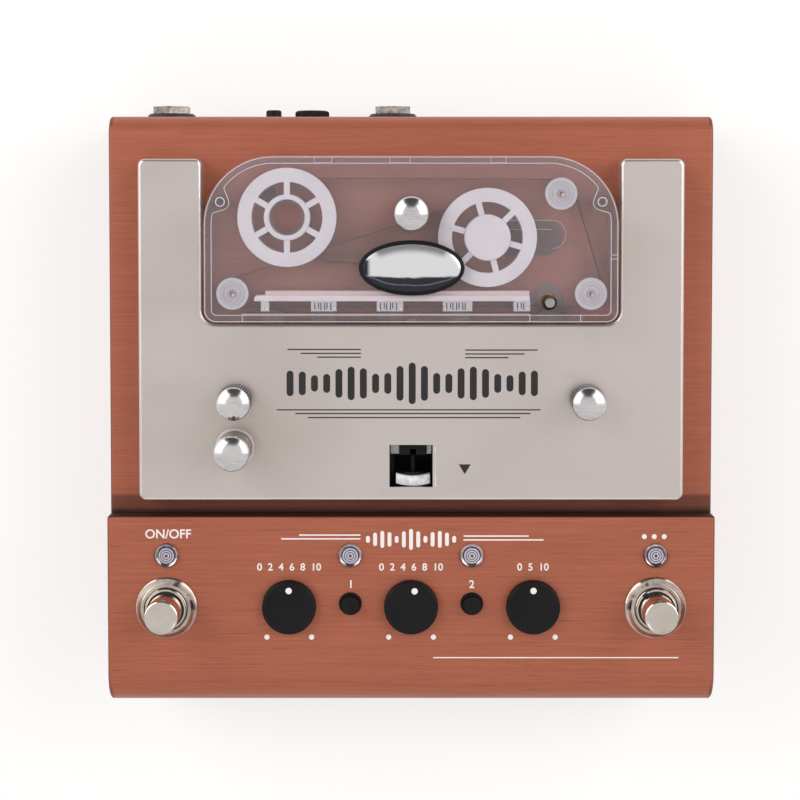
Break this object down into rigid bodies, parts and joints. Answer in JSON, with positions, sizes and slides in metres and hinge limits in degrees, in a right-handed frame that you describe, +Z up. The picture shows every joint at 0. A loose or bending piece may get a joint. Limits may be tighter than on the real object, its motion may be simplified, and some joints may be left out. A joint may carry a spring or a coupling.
{
  "type": "tape echo unit",
  "caption": "Floor-standing tape echo effect with a raised foot control panel, a tape transport under a steel cover and a clear lift-off cartridge holding an endless tape loop.",
  "frame": {"origin": "on the ground under the middle of the unit's bounding box", "axes": "+X to the player's right, +Y to the rear where the jacks are, +Z up"},
  "size_m": [0.22, 0.2186, 0.0795],
  "materials": {
    "copper_paint": "copper-coloured satin with fine brushed grain",
    "brushed_steel": "satin stainless steel",
    "bright_chrome": "polished",
    "plain_steel": "plain machined or zinc plated",
    "black_metal": "black satin",
    "black_plastic": "fine satin",
    "rubber": "matt",
    "clear_plastic": "clear, lightly tinted",
    "lens_plastic": "clear",
    "white_plastic": "white satin",
    "natural_plastic": "milky",
    "badge_metal": "bare polished dome with a black rim",
    "tape_brown": "oxide brown",
    "grey_metal": "dark grey",
    "bronze": "sintered bronze and turned brass",
    "board_green": "solder resist",
    "ribbon_grey": "grey flat cable"
  },
  "bodies": {
    "housing": {"casing_shell": "copper_paint", "bottom_plate": "black_metal", "bottom_screws": "plain_steel", "rubber_feet": "rubber", "main_board": "board_green", "control_board": "board_green", "ribbon_cable": "ribbon_grey", "footswitch_bodies": "plain_steel", "footswitch_nuts": "bright_chrome", "led_bezels": "bright_chrome", "led_lenses": "lens_plastic", "pot_bodies": "plain_steel", "push_switches": "black_plastic", "jack_bodies": "black_plastic", "jack_washers": "black_metal", "jack_nuts": "bright_chrome", "dc_inlet": "black_plastic", "rear_pot": "plain_steel", "rear_switch": "black_plastic", "deck_cover": "brushed_steel", "cover_posts": "plain_steel", "transport_frame": "plain_steel", "capstan_housing": "grey_metal", "capstan_bush": "bronze", "drive_motor": "plain_steel", "drive_belt": "rubber", "carriage_guides": "plain_steel", "retaining_bush": "plain_steel"},
    "onoff_switch": {"onoff_plunger": "bright_chrome"},
    "tap_switch": {"tap_plunger": "bright_chrome"},
    "level_control": {"level_knob": "black_plastic"},
    "feedback_control": {"feedback_knob": "black_plastic"},
    "time_control": {"time_knob": "black_plastic"},
    "short_switch": {"short_button": "black_plastic"},
    "long_switch": {"long_button": "black_plastic"},
    "rear_control": {"rear_knob": "black_plastic"},
    "rear_push": {"rear_button": "black_plastic"},
    "release": {"release_button": "bright_chrome"},
    "lever": {"lock_lever": "bright_chrome"},
    "crank": {"lock_crank": "plain_steel"},
    "carriage": {"head_carriage": "plain_steel", "tape_heads": "plain_steel"},
    "pinch": {"pinch_roller": "rubber"},
    "capstan": {"capstan_shaft": "plain_steel", "flywheel": "bronze"},
    "motor": {"motor_pulley": "bronze"},
    "left_thumb": {"thumb_screw_left": "bright_chrome"},
    "right_thumb": {"thumb_screw_right": "bright_chrome"},
    "cartridge": {"cartridge_base": "clear_plastic", "cartridge_lid": "clear_plastic", "cartridge_screws": "plain_steel", "pad_rail": "natural_plastic", "cartridge_badge": "badge_metal", "tape_loop": "tape_brown"},
    "retainer": {"retaining_knob": "bright_chrome"},
    "left_reel": {"reel_left": "white_plastic"},
    "right_reel": {"reel_right": "white_plastic"},
    "left_roller": {"roller_front_left": "natural_plastic"},
    "right_roller": {"roller_front_right": "natural_plastic"},
    "rear_roller": {"roller_rear_right": "natural_plastic"}
  },
  "joints": [
    {"name": "onoff_press", "type": "slide", "parent": "housing", "child": "onoff_switch", "axis": [0, 0, -1], "range_m": [0, 0.003], "stiffness_N_per_m": 1500, "springref_m": -0.002},
    {"name": "tap_press", "type": "slide", "parent": "housing", "child": "tap_switch", "axis": [0, 0, -1], "range_m": [0, 0.003], "stiffness_N_per_m": 1500, "springref_m": -0.002},
    {"name": "level_turn", "type": "hinge", "parent": "housing", "child": "level_control", "pos_m": [-0.04415, -0.07285, 0.0612], "axis": [0, 0, 1], "range_deg": [-150, 150]},
    {"name": "feedback_turn", "type": "hinge", "parent": "housing", "child": "feedback_control", "pos_m": [0, -0.07285, 0.0612], "axis": [0, 0, 1], "range_deg": [-138.4, 161.6]},
    {"name": "time_turn", "type": "hinge", "parent": "housing", "child": "time_control", "pos_m": [0.04415, -0.07285, 0.0612], "axis": [0, 0, 1], "range_deg": [-150, 150]},
    {"name": "short_press", "type": "slide", "parent": "housing", "child": "short_switch", "axis": [0, 0, -1], "range_m": [0, 0.0015], "stiffness_N_per_m": 700, "springref_m": -0.001},
    {"name": "long_press", "type": "slide", "parent": "housing", "child": "long_switch", "axis": [0, 0, -1], "range_m": [0, 0.0015], "stiffness_N_per_m": 700, "springref_m": -0.001},
    {"name": "rear_level_turn", "type": "hinge", "parent": "housing", "child": "rear_control", "pos_m": [-0.0371, 0.10475, 0.025], "axis": [0, 1, 0], "range_deg": [-150, 150]},
    {"name": "rear_push_press", "type": "slide", "parent": "housing", "child": "rear_push", "axis": [0, -1, 0], "range_m": [0, 0.0025], "stiffness_N_per_m": 700, "springref_m": -0.001},
    {"name": "release_press", "type": "slide", "parent": "housing", "child": "release", "axis": [0, 0, -1], "range_m": [0, 0.004], "stiffness_N_per_m": 900, "springref_m": -0.002},
    {"name": "carriage_slide", "type": "slide", "parent": "housing", "child": "carriage", "axis": [0, 1, 0], "range_m": [-0.0042, 0]},
    {"name": "lock_slide", "type": "slide", "parent": "housing", "child": "lever", "axis": [0, 1, 0], "range_m": [0, 0.006]},
    {"name": "crank_swing", "type": "hinge", "parent": "housing", "child": "crank", "pos_m": [-0.0093, -0.00825, 0.052], "axis": [0, 0, 1], "range_deg": [0, 34.92]},
    {"name": "pinch_spin", "type": "hinge", "parent": "carriage", "child": "pinch", "pos_m": [0.0495, 0.0294, 0.057], "axis": [0, 0, 1], "continuous": true},
    {"name": "capstan_spin", "type": "hinge", "parent": "housing", "child": "capstan", "pos_m": [0.0495, 0.0376, 0.052], "axis": [0, 0, 1], "continuous": true},
    {"name": "motor_spin", "type": "hinge", "parent": "housing", "child": "motor", "pos_m": [-0.024, 0.0376, 0.03], "axis": [0, 0, 1], "continuous": true},
    {"name": "left_thumb_turn", "type": "hinge", "parent": "housing", "child": "left_thumb", "pos_m": [-0.0633, 0.00195, 0.062], "axis": [0, 0, 1], "continuous": true},
    {"name": "right_thumb_turn", "type": "hinge", "parent": "housing", "child": "right_thumb", "pos_m": [0.0633, 0.00195, 0.062], "axis": [0, 0, 1], "continuous": true},
    {"name": "cartridge_lift", "type": "slide", "parent": "housing", "child": "cartridge", "axis": [0, 0, 1], "range_m": [0, 0.045]},
    {"name": "retainer_turn", "type": "hinge", "parent": "cartridge", "child": "retainer", "pos_m": [0, 0.06965, 0.065], "axis": [0, 0, 1], "continuous": true},
    {"name": "left_reel_spin", "type": "hinge", "parent": "cartridge", "child": "left_reel", "pos_m": [-0.0446, 0.06805, 0.058], "axis": [0, 0, 1], "continuous": true},
    {"name": "right_reel_spin", "type": "hinge", "parent": "cartridge", "child": "right_reel", "pos_m": [0.0274, 0.06085, 0.058], "axis": [0, 0, 1], "continuous": true},
    {"name": "left_roller_spin", "type": "hinge", "parent": "cartridge", "child": "left_roller", "pos_m": [-0.0643, 0.0406, 0.058], "axis": [0, 0, 1], "continuous": true},
    {"name": "right_roller_spin", "type": "hinge", "parent": "cartridge", "child": "right_roller", "pos_m": [0.0647, 0.0406, 0.058], "axis": [0, 0, 1], "continuous": true},
    {"name": "rear_roller_spin", "type": "hinge", "parent": "cartridge", "child": "rear_roller", "pos_m": [0.0539, 0.07655, 0.058], "axis": [0, 0, 1], "continuous": true}
  ],
  "couplings": [
    {"joint": "lock_slide", "follows": "carriage_slide", "ratio": -1.4286},
    {"joint": "crank_swing", "follows": "carriage_slide", "rad_per_m": -145.09},
    {"joint": "pinch_spin", "follows": "capstan_spin", "ratio": -0.30357},
    {"joint": "motor_spin", "follows": "capstan_spin", "ratio": 7.5},
    {"joint": "left_reel_spin", "follows": "capstan_spin", "ratio": 0.12409},
    {"joint": "right_reel_spin", "follows": "capstan_spin", "ratio": 0.12409},
    {"joint": "left_roller_spin", "follows": "capstan_spin", "ratio": 0.3617},
    {"joint": "right_roller_spin", "follows": "capstan_spin", "ratio": 0.3617},
    {"joint": "rear_roller_spin", "follows": "capstan_spin", "ratio": 0.3617}
  ]
}
